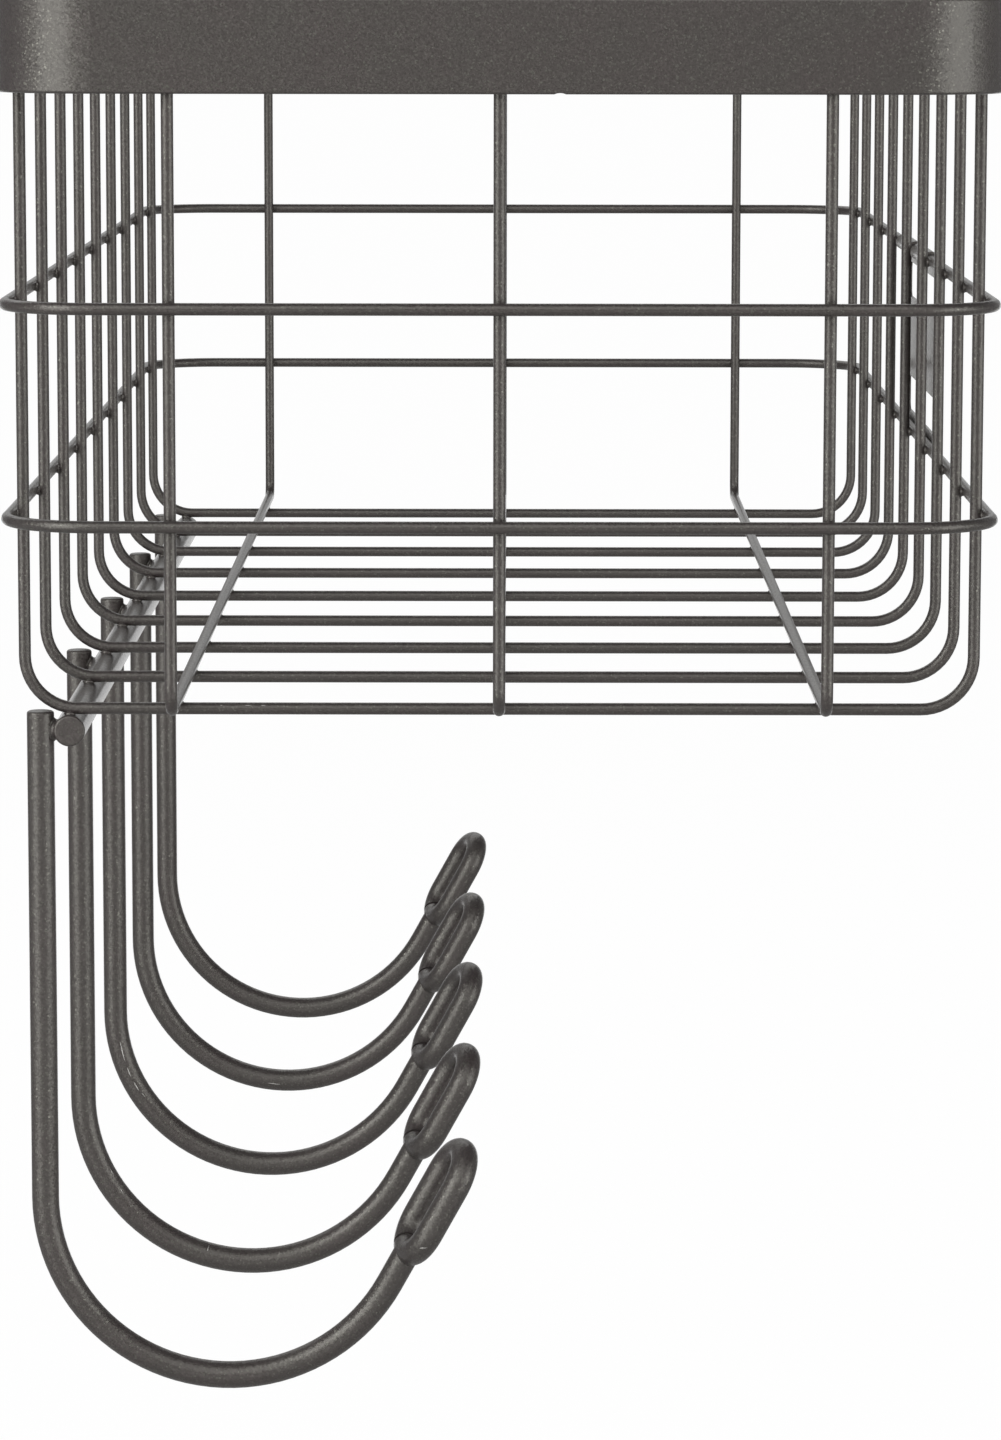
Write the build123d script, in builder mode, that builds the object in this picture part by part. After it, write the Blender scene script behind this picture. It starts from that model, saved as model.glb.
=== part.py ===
from build123d import *
import os
from math import cos, radians, sin, sqrt

# Wall basket of welded wire with a flat rim and a row of hooks under it.
# Millimetres and degrees. X = 0 is the wall, +X points into the room, Y runs
# along the wall and +Z is up. The origin is midway between the screw holes.

# Stock
wire_diameter = 2.3
rail_diameter = 6.0
hook_diameter = 5.2
weld_gap = 0.03
cut_end_round = 0.55

# Rim band
rim_length = 420.0
rim_depth = 187.2
rim_height = 17.5
rim_thickness = 2.4
rim_corner_radius = 19.0
rim_edge_round = 0.6
rim_joint_offset = 11.0
rim_joint_width = 2.2
rim_joint_depth = 0.25
screw_hole_diameter = 5.0

# Basket wires
basket_height = 135.2
wire_end_setback = 3.0
cross_wire_count = 9
cross_wire_end_margin = 22.4
cross_wire_bend_radius = 10.0
length_wire_count = 3
length_wire_spacing = 60.9
length_wire_bend_radius = 4.0
upper_hoop_drop = 39.25
hoop_spacing = 40.2

# Hooks and the rail that carries them
rail_overhang = 2.5
hook_count = 5
hook_wall_gap = 3.8
hook_top_gap = 0.3
hook_reach_down = 132.2
hook_bend_radius = 35.3
hook_turn = 151.0
hook_lead = 7.5
eye_length = 27.0
eye_strand_spacing = 12.0
eye_tilt = 14.0
eye_seam_turn = 66.0
eye_seam_width = 0.7
eye_seam_depth = 0.45

# Label plate that hangs on the upper hoop
label_length = 88.0
label_thickness = 0.6
label_hinge_clearance = 0.15
label_foot = 0.5
label_corner_radius = 2.0
label_tab_length = 34.0
label_tab_wrap = 210.0
label_slot_height = 8.0
label_top_bar = 4.1
label_bottom_bar = 2.7
label_middle_web = 10.0
label_end_web = 6.0

# Places that follow from the sizes
wire_radius = wire_diameter / 2
rail_radius = rail_diameter / 2
hook_radius = hook_diameter / 2
wire_inset = rim_thickness + weld_gap + wire_radius
hoop_inset = wire_inset - wire_diameter - weld_gap
basket_middle_x = rim_depth / 2
wire_back_x = wire_inset
wire_front_x = rim_depth - wire_inset
wire_top_z = rim_height / 2 - wire_end_setback
wire_floor_z = rim_height / 2 - basket_height + wire_radius
leg_y = rim_length / 2 - wire_inset
end_wire_y = leg_y - cross_wire_end_margin
cross_wire_pitch = 2 * end_wire_y / (cross_wire_count - 1)
length_wire_floor_z = wire_floor_z + wire_diameter + weld_gap
upper_hoop_z = -rim_height / 2 - upper_hoop_drop
lower_hoop_z = upper_hoop_z - hoop_spacing
screw_hole_y = end_wire_y - cross_wire_pitch / 2
rim_joint_radius = (rim_joint_width**2 / 4 + rim_joint_depth**2) / (2 * rim_joint_depth)

hook_x = hook_wall_gap + hook_radius
hook_pitch = 2 * end_wire_y / (hook_count - 1)
rail_x = hook_x + hook_radius + weld_gap + rail_radius
wire_bend_x = wire_back_x + cross_wire_bend_radius
wire_bend_z = wire_floor_z + cross_wire_bend_radius


def under_cross_wire(x, distance):
    """Height of a point that lies below the cross wires' centre line by a distance."""
    from_bend = max(0, wire_bend_x - x)
    return wire_bend_z - sqrt((cross_wire_bend_radius + distance) ** 2 - from_bend**2)


rail_z = under_cross_wire(rail_x, wire_radius + weld_gap + rail_radius)
hook_top_z = under_cross_wire(hook_x + hook_radius, wire_radius + hook_top_gap)
hook_bend_x = hook_x + hook_bend_radius
hook_bend_z = hook_top_z - hook_reach_down + hook_radius + hook_bend_radius
hook_rise = radians(hook_turn - 90)
hook_end_x = hook_bend_x + hook_bend_radius * sin(hook_rise)
hook_end_z = hook_bend_z - hook_bend_radius * cos(hook_rise)
eye_root_x = hook_end_x + hook_lead * cos(hook_rise)
eye_root_z = hook_end_z + hook_lead * sin(hook_rise)
eye_bend_radius = eye_strand_spacing / 2
eye_low = eye_bend_radius
eye_high = eye_length - hook_diameter - eye_bend_radius
eye_seam_share = eye_seam_turn / 180

label_hinge_x = rim_depth - hoop_inset
label_roll_inner = wire_radius + label_hinge_clearance
label_roll_outer = label_roll_inner + label_thickness
label_height = hoop_spacing + label_foot
label_slot_length = (label_length - label_middle_web - 2 * label_end_web) / 2
label_slot_y = (label_middle_web + label_slot_length) / 2
label_slot_spacing = label_height - label_top_bar - label_bottom_bar - label_slot_height
label_slots_z = upper_hoop_z - label_top_bar - label_slot_height / 2 - label_slot_spacing / 2
label_tab_y = label_length / 4


def save(piece, name):
    """Name a finished piece and write it to its own file."""
    piece.part.label = name
    export_step(piece.part, f"parts/{name}.step")


os.makedirs("parts", exist_ok=True)

# Rim band: a flat strip bent to a rounded rectangle, with two wall screw holes
with BuildPart() as rim_band:
    with BuildSketch(Plane.XY.offset(-rim_height / 2)):
        with Locations((basket_middle_x, 0)):
            RectangleRounded(rim_depth, rim_length, rim_corner_radius)
            RectangleRounded(
                rim_depth - 2 * rim_thickness,
                rim_length - 2 * rim_thickness,
                rim_corner_radius - rim_thickness,
                mode=Mode.SUBTRACT,
            )
    extrude(amount=rim_height)
    band_edges = rim_band.faces().filter_by(Axis.Z).edges()
    fillet(band_edges, rim_edge_round)
    with BuildSketch(Plane.YZ):
        with Locations((-screw_hole_y, 0), (screw_hole_y, 0)):
            Circle(screw_hole_diameter / 2)
    extrude(amount=rim_thickness, mode=Mode.SUBTRACT)

    # The strip's welded joint leaves a shallow dip in the near side's lower edge
    with BuildSketch(Plane.XZ.offset(rim_length / 2)):
        dip_middle_z = -rim_height / 2 + rim_joint_depth - rim_joint_radius
        with Locations((basket_middle_x + rim_joint_offset, dip_middle_z)):
            Circle(rim_joint_radius)
    extrude(amount=-rim_thickness, mode=Mode.SUBTRACT)
save(rim_band, "rim_band")

# Hoops: closed rounded rectangles of wire around the outside of the basket
for hoop_name, hoop_z in (("upper_hoop", upper_hoop_z), ("lower_hoop", lower_hoop_z)):
    with BuildPart() as hoop:
        with BuildLine(Plane.XY.offset(hoop_z)) as hoop_path:
            FilletPolyline(
                (hoop_inset, -rim_length / 2 + hoop_inset),
                (rim_depth - hoop_inset, -rim_length / 2 + hoop_inset),
                (rim_depth - hoop_inset, rim_length / 2 - hoop_inset),
                (hoop_inset, rim_length / 2 - hoop_inset),
                radius=rim_corner_radius - hoop_inset,
                close=True,
            )
        with BuildSketch(Plane(origin=hoop_path.line @ 0, z_dir=hoop_path.line % 0)):
            Circle(wire_radius)
        sweep()
    save(hoop, hoop_name)

# Cross wires: one U after another along the basket
for wire_number in range(cross_wire_count):
    wire_y = -end_wire_y + wire_number * cross_wire_pitch
    with BuildPart() as cross_wire:
        with BuildLine(Plane.XZ.offset(-wire_y)) as wire_path:
            FilletPolyline(
                (wire_back_x, wire_top_z),
                (wire_back_x, wire_floor_z),
                (wire_front_x, wire_floor_z),
                (wire_front_x, wire_top_z),
                radius=cross_wire_bend_radius,
            )
        with BuildSketch(Plane(origin=wire_path.line @ 0, z_dir=wire_path.line % 0)):
            Circle(wire_radius)
        sweep()
    save(cross_wire, f"cross_wire_{wire_number + 1}")

# Length wires: long U shapes that lie on the cross wires
for wire_number in range(length_wire_count):
    wire_x = basket_middle_x + (wire_number - (length_wire_count - 1) / 2) * length_wire_spacing
    with BuildPart() as length_wire:
        with BuildLine(Plane.YZ.offset(wire_x)) as wire_path:
            FilletPolyline(
                (-leg_y, wire_top_z),
                (-leg_y, length_wire_floor_z),
                (leg_y, length_wire_floor_z),
                (leg_y, wire_top_z),
                radius=length_wire_bend_radius,
            )
        with BuildSketch(Plane(origin=wire_path.line @ 0, z_dir=wire_path.line % 0)):
            Circle(wire_radius)
        sweep()
    save(length_wire, f"length_wire_{wire_number + 1}")

# Rail: a straight rod across the underside of the cross wires, near the wall
with BuildPart() as hook_rail:
    rail_half_length = end_wire_y + rail_overhang
    with BuildSketch(Plane.XZ.offset(-rail_half_length)):
        with Locations((rail_x, rail_z)):
            Circle(rail_radius)
    extrude(amount=2 * rail_half_length)
    fillet(hook_rail.edges().filter_by(GeomType.CIRCLE), cut_end_round)
save(hook_rail, "hook_rail")

# Hooks: a rod bent to a J, its free end turned back into a closed eye
for hook_number in range(hook_count):
    hook_y = -end_wire_y + hook_number * hook_pitch
    with BuildPart() as hook:
        with BuildLine(Plane.XZ.offset(-hook_y)) as rod_path:
            Line((hook_x, hook_top_z), (hook_x, hook_bend_z))
            CenterArc((hook_bend_x, hook_bend_z), hook_bend_radius, 180, hook_turn)
            Line((hook_end_x, hook_end_z), (eye_root_x, eye_root_z))
        with BuildSketch(Plane.XY.offset(hook_top_z)):
            with Locations((hook_x, hook_y)):
                Circle(hook_radius)
        sweep()
        top_edge = hook.edges().filter_by(GeomType.CIRCLE).sort_by(Axis.Z)[-1]
        fillet(top_edge, cut_end_round)

        # The eye lies in a plane along the rod's end, tilted out of the straight
        rise = Vector(cos(hook_rise), 0, sin(hook_rise))
        across = Vector(0, -1, 0).rotate(Axis((0, 0, 0), rise), eye_tilt)
        eye_plane = Plane(
            origin=(eye_root_x, hook_y, eye_root_z), x_dir=rise, z_dir=rise.cross(across)
        )
        with BuildLine(eye_plane) as eye_path:
            low_bend = CenterArc((eye_low, 0), eye_bend_radius, 270, -180)
            Line((eye_low, eye_bend_radius), (eye_high, eye_bend_radius))
            CenterArc((eye_high, 0), eye_bend_radius, 90, -180)
            Line((eye_high, -eye_bend_radius), (eye_low, -eye_bend_radius))
        with BuildSketch(Plane(origin=eye_path.line @ 0, z_dir=eye_path.line % 0)):
            Circle(hook_radius)
        sweep()

        # The welded joint where the rod's end comes back to it shows as a groove
        seam_point = low_bend @ eye_seam_share
        with BuildSketch(Plane(origin=seam_point, z_dir=low_bend % eye_seam_share)):
            Circle(hook_radius + eye_seam_depth)
            Circle(hook_radius - eye_seam_depth, mode=Mode.SUBTRACT)
        extrude(amount=eye_seam_width / 2, both=True, mode=Mode.SUBTRACT)
    save(hook, f"hook_{hook_number + 1}")

# Label plate: slotted sheet whose top edge is rolled over the upper hoop in two tabs
with BuildPart() as label_plate:
    with BuildSketch(Plane.YZ.offset(label_hinge_x + label_roll_inner)) as sheet:
        with Locations((0, upper_hoop_z)):
            Rectangle(label_length, label_height, align=(Align.CENTER, Align.MAX))
        fillet(sheet.vertices(), label_corner_radius)
        with Locations((0, label_slots_z)):
            with GridLocations(2 * label_slot_y, label_slot_spacing, 2, 2):
                RectangleRounded(
                    label_slot_length, label_slot_height, label_corner_radius, mode=Mode.SUBTRACT
                )
    extrude(amount=label_thickness)
    for tab_y in (-label_tab_y, label_tab_y):
        hinge_point = (label_hinge_x, tab_y, upper_hoop_z)
        with BuildSketch(Plane(origin=hinge_point, x_dir=(1, 0, 0), z_dir=(0, -1, 0))):
            with BuildLine():
                outside = CenterArc((0, 0), label_roll_outer, 0, label_tab_wrap)
                inside = CenterArc((0, 0), label_roll_inner, 0, label_tab_wrap)
                Line(outside @ 0, inside @ 0)
                Line(outside @ 1, inside @ 1)
            make_face()
        extrude(amount=label_tab_length / 2, both=True)
save(label_plate, "label_plate")
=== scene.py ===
import math

import bmesh
import bpy
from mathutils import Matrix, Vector, noise


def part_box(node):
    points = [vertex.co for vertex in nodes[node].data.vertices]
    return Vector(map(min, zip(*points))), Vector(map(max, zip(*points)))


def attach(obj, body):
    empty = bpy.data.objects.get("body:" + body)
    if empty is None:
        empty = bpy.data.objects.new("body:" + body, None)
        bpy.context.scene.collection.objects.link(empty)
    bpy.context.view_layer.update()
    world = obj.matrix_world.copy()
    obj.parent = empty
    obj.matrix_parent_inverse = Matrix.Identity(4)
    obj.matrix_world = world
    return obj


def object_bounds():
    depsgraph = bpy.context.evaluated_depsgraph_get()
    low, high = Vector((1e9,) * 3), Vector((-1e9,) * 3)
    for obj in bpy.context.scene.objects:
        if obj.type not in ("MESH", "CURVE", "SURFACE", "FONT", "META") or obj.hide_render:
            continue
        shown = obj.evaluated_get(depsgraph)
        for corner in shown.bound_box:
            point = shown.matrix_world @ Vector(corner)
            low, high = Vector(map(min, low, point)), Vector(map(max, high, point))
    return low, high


# Looks of a welded wire wall basket with hooks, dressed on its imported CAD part.
# Metres and radians. X = 0 is the wall, +X points into the room and +Z is up.

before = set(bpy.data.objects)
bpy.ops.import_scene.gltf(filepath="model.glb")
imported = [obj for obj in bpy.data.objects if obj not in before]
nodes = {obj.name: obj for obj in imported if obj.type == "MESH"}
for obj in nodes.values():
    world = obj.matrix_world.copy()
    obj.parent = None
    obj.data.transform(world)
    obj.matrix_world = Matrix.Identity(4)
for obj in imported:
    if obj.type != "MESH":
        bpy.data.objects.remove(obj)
cad_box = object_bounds()
cad_middle = (cad_box[0] + cad_box[1]) / 2

MM = 0.001
ALONG_X = Vector((1, 0, 0))
ALONG_Y = Vector((0, 1, 0))
ALONG_Z = Vector((0, 0, 1))

# Camera, fitted to the rows of wires and hooks
camera_place = Vector((95.35, -1186.75, 13.65)) * MM
camera_pitch = math.radians(-8.01)
camera_roll = -0.0014
camera_yaw = 0.0017
camera_lens_mm = 133.2
camera_sensor_mm = 36.0

# Stage
floor_drop = 0.35
floor_radius = 40.0
floor_segments = 96
floor_white = 0.92
floor_glow_share = 0.985
matte_roughness = 0.9
room_grey = 0.1

# Lamps: bearing from the front and elevation in degrees, distance, size, and watts
lamps = {
    "left_softbox": (-45, 4, 1.8, (1.1, 2.0), 17.5),
    "left_key": (-50, 30, 1.7, (1.0, 1.0), 9.0),
    "right_softbox": (57, 0, 1.7, (1.2, 1.6), 15.0),
    "front_fill": (0, 37, 2.2, (1.8, 1.9), 15.0),
    "back_panel": (180, 10, 2.6, (3.6, 1.1), 5.0),
    "upper_panel": (-165, 38, 2.6, (2.8, 1.2), 14.0),
}

# Grey cards: bearing and elevation in degrees, distance, size, and how light they are
cards = {
    "left_card": (-120, 0, 1.5, (1.4, 1.8), 0.35),
    "right_card": (124, 0, 1.5, (1.4, 1.8), 0.35),
    "camera_card": (0, 2, 1.25, (1.0, 0.35), 0.03),
    "front_card": (0, -42, 1.3, (3.0, 1.0), 0.9),
    "under_card": (0, -90, 0.4, (4.0, 2.2), 0.55),
}

# Powder coat, in linear colour
coat_warm = (0.040, 0.0292, 0.0318)
coat_cool = (0.0365, 0.0302, 0.0308)
# Darker colour for the grain's low spots: random sandy tone, and painted shade in the coat's pits
coat_pit_shade = (0.022, 0.0175, 0.0175)
coat_shine = 0.95
coat_roughness = (0.37, 0.48)
film_weight = 0.7
film_index = 1.2
film_roughness = 0.15
flake_colour = (0.16, 0.157, 0.138)
flake_tint = (1.0, 0.98, 0.88)
mottle_size = 14 * MM
mottle_span = (0.35, 0.65)
grain_size = 0.4 * MM
grain_detail = 4.0
grain_span = (0.3, 0.7)
grain_height = 0.03 * MM
grain_strength = 0.35
flake_size = 0.3 * MM
flake_threshold = 0.88
flake_tilt = 0.24

# Steel under the coat
steel_colour = (0.62, 0.61, 0.58)
steel_dull_share = 0.7
steel_roughness = 0.45

# Welds, with the rim's flat inside taken as a rod of a very large radius
weld_sides = 20
weld_rings = 6
weld_waist = 0.16
weld_sink = 0.02 * MM
weld_unevenness = 0.1
weld_fill = 0.93
rail_weld_fill = 0.45
hook_weld_fill = 0.8
rim_weld_half_length = 5.5 * MM
flat_radius = 1.0

# Hooks
hook_bend_radius = 35.3 * MM
hook_straight_top = 10 * MM

# Worn marks
nick_steps = 8
nick_height = 0.015 * MM
nick_depth = 0.05 * MM
nick_end_share = 0.15

# Near floor wire: start and end of each mark out from the wall, in mm, and angle up from the front
floor_nicks_mm = ((40.6, 41.1), (45.3, 46.5), (48.4, 49.3))
floor_nick_lean = math.radians(38)
floor_nick_width = 0.3 * MM

# Nearest eye: start and end of its mark, in mm
eye_nick_hook = "hook_1"
eye_nick_mm = ((78.5, -191.9, -228.4), (80.0, -192.1, -228.2))
eye_nick_width = 0.55 * MM

# Hook bends: degrees along the bend and round the rod at each mark's start and end, and width in mm
hook_nicks = {
    "hook_2": [
        ((254, 66), (254, 30), 0.3),
        ((207, 49), (210, 47), 0.25),
        ((215, 37), (217, 36), 0.25),
    ],
    "hook_3": [
        ((191, 12), (199, 9), 0.35),
        ((201, 8), (205, 7), 0.35),
        ((207, 8), (211, 9), 0.4),
        ((212, 14), (214, 17), 0.25),
    ],
    "hook_4": [((262, -12), (267, -13), 0.3)],
}

cross_wires = [name for name in sorted(nodes) if name.startswith("cross_wire")]
length_wires = [name for name in sorted(nodes) if name.startswith("length_wire")]
hooks = [name for name in sorted(nodes) if name.startswith("hook_") and name != "hook_rail"]
hoops = ["upper_hoop", "lower_hoop"]

first_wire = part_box(cross_wires[0])
wire_radius = (first_wire[1].y - first_wire[0].y) / 2
rail_low, rail_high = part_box("hook_rail")
rail_radius = (rail_high.x - rail_low.x) / 2
rail_middle_z = (rail_low.z + rail_high.z) / 2


# Shader helpers
def new_material(name):
    """A node material with its shader, ready for links."""
    material = bpy.data.materials.new(name)
    material.use_nodes = True
    tree = material.node_tree
    return material, tree, tree.nodes["Principled BSDF"]


def add_node(tree, kind, **settings):
    """A shader node with some of its properties set."""
    node = tree.nodes.new(kind)
    for key, value in settings.items():
        setattr(node, key, value)
    return node


def add_math(tree, operation, first, second):
    """A math node on two sockets or numbers, as its output socket."""
    node = add_node(tree, "ShaderNodeMath", operation=operation)
    for socket, value in zip(node.inputs, (first, second)):
        if isinstance(value, (int, float)):
            socket.default_value = value
        else:
            tree.links.new(value, socket)
    return node.outputs["Value"]


def add_ramp(tree, source, low, high):
    """A smooth step from 0 to 1 as the source goes from low to high."""
    node = add_node(tree, "ShaderNodeMapRange", interpolation_type="SMOOTHSTEP")
    node.inputs["From Min"].default_value = low
    node.inputs["From Max"].default_value = high
    tree.links.new(source, node.inputs["Value"])
    return node.outputs["Result"]


def mix_colours(tree, share, first, second):
    """A colour between two colours or sockets, as its output socket."""
    node = add_node(tree, "ShaderNodeMix", data_type="RGBA")
    tree.links.new(share, node.inputs["Factor"])
    # The colour sockets share their names with others, so they are taken by place
    for socket, value in ((node.inputs[6], first), (node.inputs[7], second)):
        if isinstance(value, tuple):
            socket.default_value = (*value, 1)
        else:
            tree.links.new(value, socket)
    return node.outputs[2]


def add_noise(tree, size, detail=3.0):
    """Noise with features of a real size, from the part's own coordinates."""
    place = add_node(tree, "ShaderNodeTexCoord")
    node = add_node(tree, "ShaderNodeTexNoise")
    node.inputs["Scale"].default_value = 1 / size
    node.inputs["Detail"].default_value = detail
    tree.links.new(place.outputs["Object"], node.inputs["Vector"])
    return node.outputs["Fac"]


def add_flakes(tree, size):
    """Three random numbers per small cell, from the part's own coordinates."""
    place = add_node(tree, "ShaderNodeTexCoord")
    node = add_node(tree, "ShaderNodeTexVoronoi")
    node.inputs["Scale"].default_value = 1 / size
    tree.links.new(place.outputs["Object"], node.inputs["Vector"])
    return node.outputs["Color"]


def tilt_normal(tree, normal, numbers, amount):
    """A normal leaned over by random numbers, as flakes lie in a film."""
    centred = add_node(tree, "ShaderNodeVectorMath", operation="SUBTRACT")
    centred.inputs[1].default_value = (0.5, 0.5, 0.5)
    tree.links.new(numbers, centred.inputs[0])
    lean = add_node(tree, "ShaderNodeVectorMath", operation="SCALE")
    lean.inputs["Scale"].default_value = amount
    tree.links.new(centred.outputs["Vector"], lean.inputs[0])
    total = add_node(tree, "ShaderNodeVectorMath", operation="ADD")
    tree.links.new(normal, total.inputs[0])
    tree.links.new(lean.outputs["Vector"], total.inputs[1])
    unit = add_node(tree, "ShaderNodeVectorMath", operation="NORMALIZE")
    tree.links.new(total.outputs["Vector"], unit.inputs[0])
    return unit.outputs["Vector"]


def powder_coat():
    """Graphite powder coat: a sandy film with painted shade in its pits, metal flakes and faint
    warm and cool clouds.
    """
    material, tree, shader = new_material("powder_coat")
    clouds = add_ramp(tree, add_noise(tree, mottle_size), *mottle_span)
    grain = add_noise(tree, grain_size, detail=grain_detail)
    flakes = add_flakes(tree, flake_size)
    split = add_node(tree, "ShaderNodeSeparateColor")
    tree.links.new(flakes, split.inputs["Color"])
    bright = add_ramp(tree, split.outputs["Red"], flake_threshold, 1.0)
    tint = mix_colours(tree, clouds, coat_warm, coat_cool)
    # The grain's low spots, the pits of the bump, take the darker colour: painted shade in the pits
    sandy = mix_colours(tree, add_ramp(tree, grain, *grain_span), coat_pit_shade, tint)
    tree.links.new(mix_colours(tree, bright, sandy, flake_colour), shader.inputs["Base Color"])
    tree.links.new(bright, shader.inputs["Metallic"])
    shader.inputs["Specular Tint"].default_value = (*flake_tint, 1)
    shader.inputs["Specular IOR Level"].default_value = coat_shine
    shader.inputs["Coat Weight"].default_value = film_weight
    shader.inputs["Coat IOR"].default_value = film_index
    shader.inputs["Coat Roughness"].default_value = film_roughness

    gloss = add_node(tree, "ShaderNodeMapRange")
    gloss.inputs["From Min"].default_value = grain_span[0]
    gloss.inputs["From Max"].default_value = grain_span[1]
    gloss.inputs["To Min"].default_value = coat_roughness[0]
    gloss.inputs["To Max"].default_value = coat_roughness[1]
    tree.links.new(grain, gloss.inputs["Value"])
    tree.links.new(gloss.outputs["Result"], shader.inputs["Roughness"])

    bump = add_node(tree, "ShaderNodeBump")
    bump.inputs["Strength"].default_value = grain_strength
    bump.inputs["Distance"].default_value = grain_height
    tree.links.new(grain, bump.inputs["Height"])
    leaned = tilt_normal(tree, bump.outputs["Normal"], flakes, flake_tilt)
    tree.links.new(leaned, shader.inputs["Normal"])
    return material


def bare_steel():
    """Bright steel that shows in a nick through the coat."""
    material, tree, shader = new_material("bare_steel")
    grain = add_noise(tree, grain_size)
    dull_colour = tuple(steel_dull_share * part for part in steel_colour)
    shade = mix_colours(tree, grain, dull_colour, steel_colour)
    tree.links.new(shade, shader.inputs["Base Color"])
    shader.inputs["Metallic"].default_value = 1.0
    shader.inputs["Roughness"].default_value = steel_roughness
    return material


# Mesh helpers
def make_piece(name, mesh, material, body):
    """Turn a filled bmesh into a smooth object that rides on a body."""
    bmesh.ops.recalc_face_normals(mesh, faces=mesh.faces)
    data = bpy.data.meshes.new(name)
    mesh.to_mesh(data)
    mesh.free()
    data.materials.append(material)
    for face in data.polygons:
        face.use_smooth = True
    piece = bpy.data.objects.new(name, data)
    bpy.context.scene.collection.objects.link(piece)
    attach(piece, body)


def join_rings(mesh, rings):
    """Skin a row of rings of vertices and close both ends."""
    for ring, after in zip(rings, rings[1:]):
        for side in range(len(ring)):
            beside = (side + 1) % len(ring)
            mesh.faces.new((ring[side], ring[beside], after[beside], after[side]))
    mesh.faces.new(rings[0])
    mesh.faces.new(list(reversed(rings[-1])))


def rise(radius, offset):
    """How far a rod's surface falls back at an offset from its nearest line."""
    return radius - math.sqrt(radius**2 - offset**2)


def crossing_weld(mesh, contact, rods, radii, reaches):
    """Add the weld that fills the notch round the point where two rods touch.

    rods are two directions at right angles. The first rod lies on the side that the cross product
    of the two points to. reaches are the weld's half lengths along the first and second rod.
    """
    first, second = rods
    normal = first.cross(second)
    rings = []
    for step in range(weld_rings):
        share = step / (weld_rings - 1)
        waist = 1 - weld_waist * math.sin(math.pi * share)
        ring = []
        for side in range(weld_sides):
            angle = math.tau * side / weld_sides
            outward = first * math.cos(angle) + second * math.sin(angle)
            uneven = 1 - weld_unevenness * abs(noise.noise(contact / MM + outward))
            along_first = reaches[0] * math.cos(angle) * uneven
            along_second = reaches[1] * math.sin(angle) * uneven
            top = rise(radii[0], along_second) + weld_sink
            bottom = -rise(radii[1], along_first) - weld_sink
            place = (first * along_first + second * along_second) * waist
            place += normal * (top + (bottom - top) * share)
            ring.append(mesh.verts.new(contact + place))
        rings.append(ring)
    join_rings(mesh, rings)


def nick(mesh, surface, start, end, width):
    """Add a thin sliver on a surface, from one pair of the surface's own coordinates to another."""
    rings = []
    run = (surface(*end)[0] - surface(*start)[0]).normalized()
    for step in range(nick_steps + 1):
        place = [first + (last - first) * step / nick_steps for first, last in zip(start, end)]
        point, normal = surface(*place)
        half = width / 2 * (nick_end_share + math.sin(math.pi * step / nick_steps))
        across = normal.cross(run).normalized() * half
        corners = (
            point + normal * nick_height,
            point + across - normal * nick_depth / 2,
            point - normal * nick_depth,
            point - across - normal * nick_depth / 2,
        )
        rings.append([mesh.verts.new(corner) for corner in corners])
    join_rings(mesh, rings)


def hook_radius(hook):
    """Half the width of a hook's rod, measured near its top end."""
    least_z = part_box(hook)[1].z - hook_straight_top
    across = [vertex.co.x for vertex in nodes[hook].data.vertices if vertex.co.z > least_z]
    return (max(across) - min(across)) / 2


# Stage
def face_object(holder, bearing, elevation, distance):
    """Put a lamp or card at a bearing, an elevation and a distance, facing the object's middle."""
    turn = math.radians(bearing)
    lift = math.radians(elevation)
    level = math.cos(lift)
    way = Vector((math.sin(turn) * level, -math.cos(turn) * level, math.sin(lift)))
    holder.location = cad_middle + way * distance
    holder.rotation_euler = way.to_track_quat("Z", "Y").to_euler()
    bpy.context.scene.collection.objects.link(holder)


def area_lamp(name, bearing, elevation, distance, size, watts):
    """A rectangular soft light."""
    lamp = bpy.data.lights.new(name, "AREA")
    lamp.shape = "RECTANGLE"
    lamp.size, lamp.size_y = size
    lamp.energy = watts
    face_object(bpy.data.objects.new(name, lamp), bearing, elevation, distance)


def grey_card(name, bearing, elevation, distance, size, grey):
    """A card out of the picture that keeps the white floor off the rods' edges."""
    material, _, shader = new_material(name)
    shader.inputs["Base Color"].default_value = (grey, grey, grey, 1)
    shader.inputs["Roughness"].default_value = matte_roughness
    mesh = bmesh.new()
    bmesh.ops.create_grid(mesh, x_segments=1, y_segments=1, size=0.5)
    bmesh.ops.scale(mesh, vec=(*size, 1), verts=mesh.verts)
    data = bpy.data.meshes.new(name)
    mesh.to_mesh(data)
    mesh.free()
    data.materials.append(material)
    card = bpy.data.objects.new(name, data)
    card.visible_camera = False
    card.visible_shadow = False
    face_object(card, bearing, elevation, distance)


def floor_material():
    """White floor: it glows for what looks at it and mirrors it, and keeps part of the shadow."""
    material, tree, shader = new_material("floor_white")
    shader.inputs["Base Color"].default_value = (floor_white, floor_white, floor_white, 1)
    shader.inputs["Roughness"].default_value = matte_roughness
    path = add_node(tree, "ShaderNodeLightPath")
    seen = add_math(tree, "MAXIMUM", path.outputs["Is Camera Ray"], path.outputs["Is Glossy Ray"])
    seen = add_math(tree, "MAXIMUM", seen, path.outputs["Is Transmission Ray"])
    glow = add_node(tree, "ShaderNodeEmission")
    mix = add_node(tree, "ShaderNodeMixShader")
    tree.links.new(add_math(tree, "MULTIPLY", seen, floor_glow_share), mix.inputs["Fac"])
    tree.links.new(shader.outputs["BSDF"], mix.inputs[1])
    tree.links.new(glow.outputs["Emission"], mix.inputs[2])
    tree.links.new(mix.outputs["Shader"], tree.nodes["Material Output"].inputs["Surface"])
    return material


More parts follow.
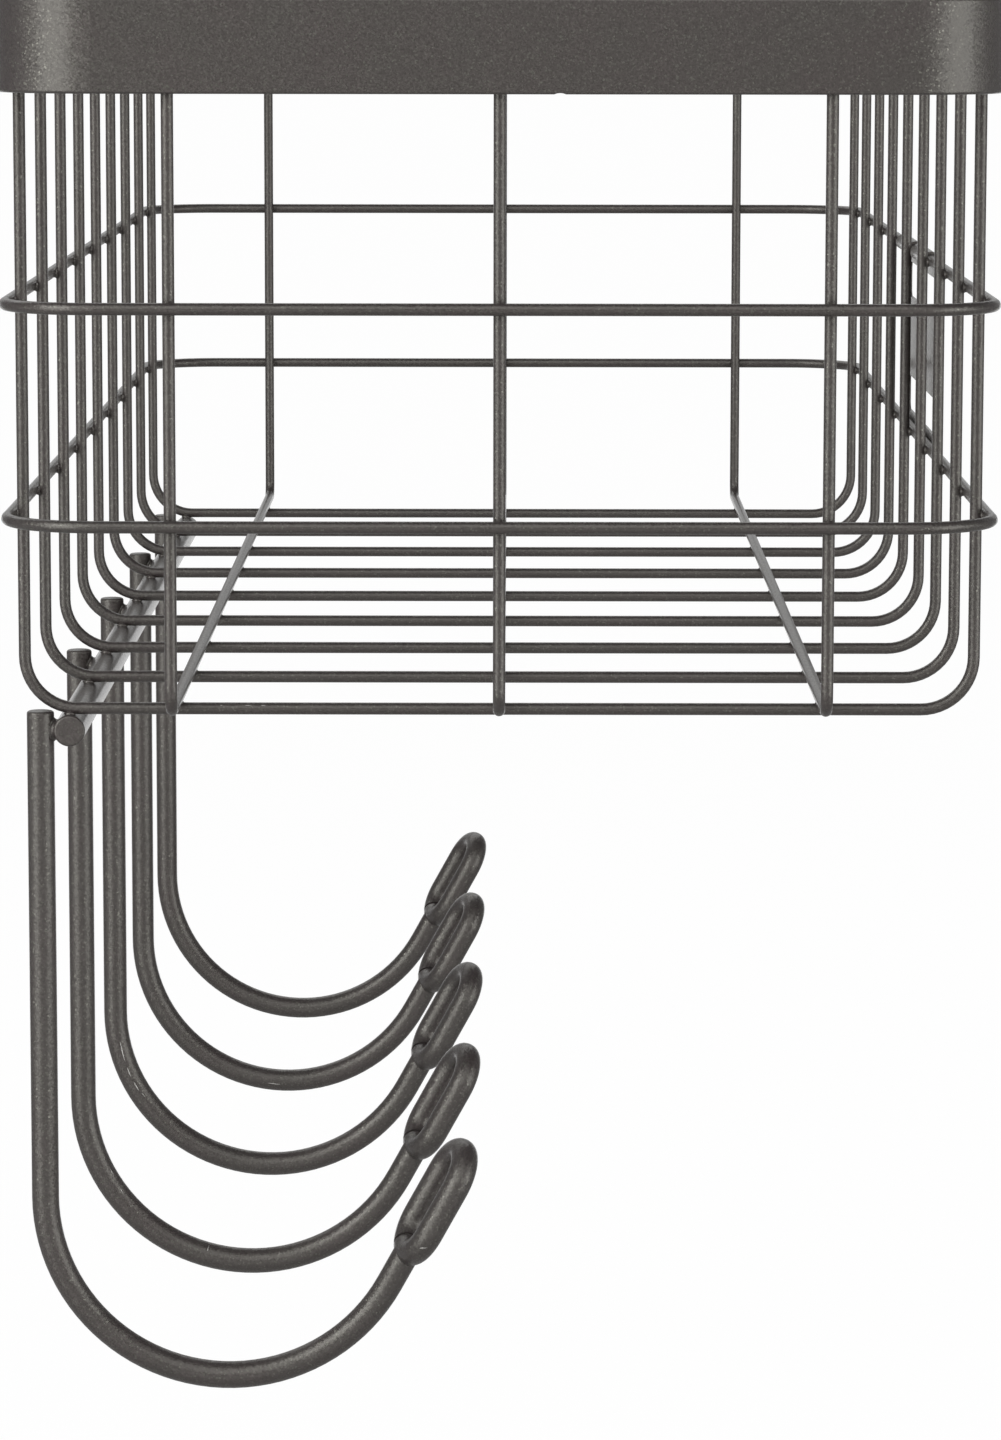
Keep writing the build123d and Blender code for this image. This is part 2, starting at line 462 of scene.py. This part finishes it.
def build_stage():
    """Floor, lamps, grey cards, room light and camera."""
    scene = bpy.context.scene
    scene.view_settings.view_transform = "Standard"

    disc = bmesh.new()
    bmesh.ops.create_circle(disc, cap_ends=True, segments=floor_segments, radius=floor_radius)
    data = bpy.data.meshes.new("floor")
    disc.to_mesh(data)
    disc.free()
    data.materials.append(floor_material())
    floor = bpy.data.objects.new("floor", data)
    floor.location = (cad_middle.x, cad_middle.y, cad_box[0].z - floor_drop)
    scene.collection.objects.link(floor)

    for name, settings in lamps.items():
        area_lamp(name, *settings)
    for name, settings in cards.items():
        grey_card(name, *settings)

    world = bpy.data.worlds.new("room")
    world.use_nodes = True
    background = world.node_tree.nodes["Background"]
    background.inputs["Color"].default_value = (room_grey, room_grey, room_grey, 1)
    scene.world = world

    lens = bpy.data.cameras.new("photo_camera")
    lens.lens = camera_lens_mm
    lens.sensor_width = camera_sensor_mm
    camera = bpy.data.objects.new("photo_camera", lens)
    camera.location = camera_place
    camera.rotation_euler = (math.pi / 2 + camera_pitch, camera_roll, camera_yaw)
    scene.collection.objects.link(camera)
    scene.camera = camera


# Welds
def hoop_welds(material):
    """Welds where the two hoops cross the outside of the upright wires."""
    mesh = bmesh.new()
    radii = (wire_radius, wire_radius)
    reaches = (weld_fill * wire_radius, weld_fill * wire_radius)
    for hoop in hoops:
        low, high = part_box(hoop)
        hoop_z = (low.z + high.z) / 2
        for wire in cross_wires:
            wire_low, wire_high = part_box(wire)
            wire_y = (wire_low.y + wire_high.y) / 2
            front = Vector(((high.x - 2 * wire_radius + wire_high.x) / 2, wire_y, hoop_z))
            back = Vector(((low.x + 2 * wire_radius + wire_low.x) / 2, wire_y, hoop_z))
            crossing_weld(mesh, front, (ALONG_Y, ALONG_Z), radii, reaches)
            crossing_weld(mesh, back, (-ALONG_Y, ALONG_Z), radii, reaches)
        for wire in length_wires:
            wire_low, wire_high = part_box(wire)
            wire_x = (wire_low.x + wire_high.x) / 2
            near = Vector((wire_x, (low.y + 2 * wire_radius + wire_low.y) / 2, hoop_z))
            far = Vector((wire_x, (high.y - 2 * wire_radius + wire_high.y) / 2, hoop_z))
            crossing_weld(mesh, near, (ALONG_X, ALONG_Z), radii, reaches)
            crossing_weld(mesh, far, (-ALONG_X, ALONG_Z), radii, reaches)
    make_piece("hoop_welds", mesh, material, "basket")


def floor_welds(material):
    """Welds where the length wires lie on the cross wires."""
    mesh = bmesh.new()
    radii = (wire_radius, wire_radius)
    reaches = (weld_fill * wire_radius, weld_fill * wire_radius)
    for wire in cross_wires:
        wire_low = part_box(wire)[0]
        for over in length_wires:
            over_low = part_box(over)[0]
            contact = Vector((over_low.x + wire_radius, wire_low.y + wire_radius, 0))
            contact.z = (wire_low.z + 2 * wire_radius + over_low.z) / 2
            crossing_weld(mesh, contact, (ALONG_Y, -ALONG_X), radii, reaches)
    make_piece("floor_welds", mesh, material, "basket")


def rail_welds(material):
    """Welds between the cross wires and the rail, and between the rail and the hooks."""
    mesh = bmesh.new()
    rail_x = rail_low.x + rail_radius
    for wire in cross_wires:
        wire_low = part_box(wire)[0]
        contact = Vector((rail_x, wire_low.y + wire_radius, rail_high.z))
        reaches = (rail_weld_fill * rail_radius, weld_fill * wire_radius)
        crossing_weld(mesh, contact, (ALONG_X, ALONG_Y), (wire_radius, rail_radius), reaches)
    for hook in hooks:
        hook_low, hook_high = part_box(hook)
        hook_y = (hook_low.y + hook_high.y) / 2
        shank_radius = hook_radius(hook)
        contact = Vector(((hook_low.x + 2 * shank_radius + rail_low.x) / 2, hook_y, rail_middle_z))
        reaches = (hook_weld_fill * shank_radius, hook_weld_fill * rail_radius)
        crossing_weld(mesh, contact, (ALONG_Y, ALONG_Z), (rail_radius, shank_radius), reaches)
    make_piece("rail_welds", mesh, material, "basket")


def rim_welds(material):
    """Welds between the wires' upper ends and the inside of the rim."""
    mesh = bmesh.new()
    rim_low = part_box("rim_band")[0]
    radii = (flat_radius, wire_radius)
    reaches = (weld_fill * wire_radius, rim_weld_half_length)
    for wire in cross_wires:
        low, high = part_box(wire)
        lap_z = (rim_low.z + high.z) / 2
        wire_y = low.y + wire_radius
        crossing_weld(mesh, Vector((high.x, wire_y, lap_z)), (ALONG_Y, ALONG_Z), radii, reaches)
        crossing_weld(mesh, Vector((low.x, wire_y, lap_z)), (-ALONG_Y, ALONG_Z), radii, reaches)
    for wire in length_wires:
        low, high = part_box(wire)
        lap_z = (rim_low.z + high.z) / 2
        wire_x = low.x + wire_radius
        crossing_weld(mesh, Vector((wire_x, low.y, lap_z)), (ALONG_X, ALONG_Z), radii, reaches)
        crossing_weld(mesh, Vector((wire_x, high.y, lap_z)), (-ALONG_X, ALONG_Z), radii, reaches)
    make_piece("rim_welds", mesh, material, "basket")


# Worn marks
def hook_surface(hook):
    """A function from two angles, along the bend and round the rod, to a point and its normal."""
    low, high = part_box(hook)
    radius = hook_radius(hook)
    middle_y = (low.y + high.y) / 2
    bend_x = low.x + radius + hook_bend_radius
    bend_z = low.z + radius + hook_bend_radius

    def surface(along, around):
        inward = Vector((-math.cos(along), 0, -math.sin(along)))
        normal = -ALONG_Y * math.cos(around) + inward * math.sin(around)
        centre = Vector((bend_x, middle_y, bend_z)) - inward * hook_bend_radius
        return centre + normal * radius, normal

    return surface


def floor_run_surface(wire):
    """A function from a distance out from the wall and an angle to a point and its normal."""
    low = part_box(wire)[0]

    def surface(along, around):
        normal = -ALONG_Y * math.cos(around) + ALONG_Z * math.sin(around)
        centre = Vector((along, low.y + wire_radius, low.z + wire_radius))
        return centre + normal * wire_radius, normal

    return surface


def laid_surface(node, start, end):
    """A function from a share of the way between two places to a point on a node and its normal."""

    def surface(share, _):
        _, point, normal, _ = nodes[node].closest_point_on_mesh(start.lerp(end, share))
        return point, normal

    return surface


def worn_marks(material):
    """Short bright nicks where things have rubbed the hooks and the near floor wire."""
    mesh = bmesh.new()
    surface = floor_run_surface(cross_wires[0])
    for start, end in floor_nicks_mm:
        first = (start * MM, floor_nick_lean)
        last = (end * MM, floor_nick_lean)
        nick(mesh, surface, first, last, floor_nick_width)
    eye_nick = [Vector(place) * MM for place in eye_nick_mm]
    nick(mesh, laid_surface(eye_nick_hook, *eye_nick), (0, 0), (1, 0), eye_nick_width)
    for hook, strokes in hook_nicks.items():
        surface = hook_surface(hook)
        for start, end, width in strokes:
            first = [math.radians(angle) for angle in start]
            last = [math.radians(angle) for angle in end]
            nick(mesh, surface, first, last, width * MM)
    make_piece("worn_nicks", mesh, material, "basket")


def dress_nodes(material):
    """Give every CAD piece the coat."""
    for node in nodes.values():
        node.data.materials.clear()
        node.data.materials.append(material)


build_stage()
coat = powder_coat()
dress_nodes(coat)
hoop_welds(coat)
floor_welds(coat)
rail_welds(coat)
rim_welds(coat)
worn_marks(bare_steel())
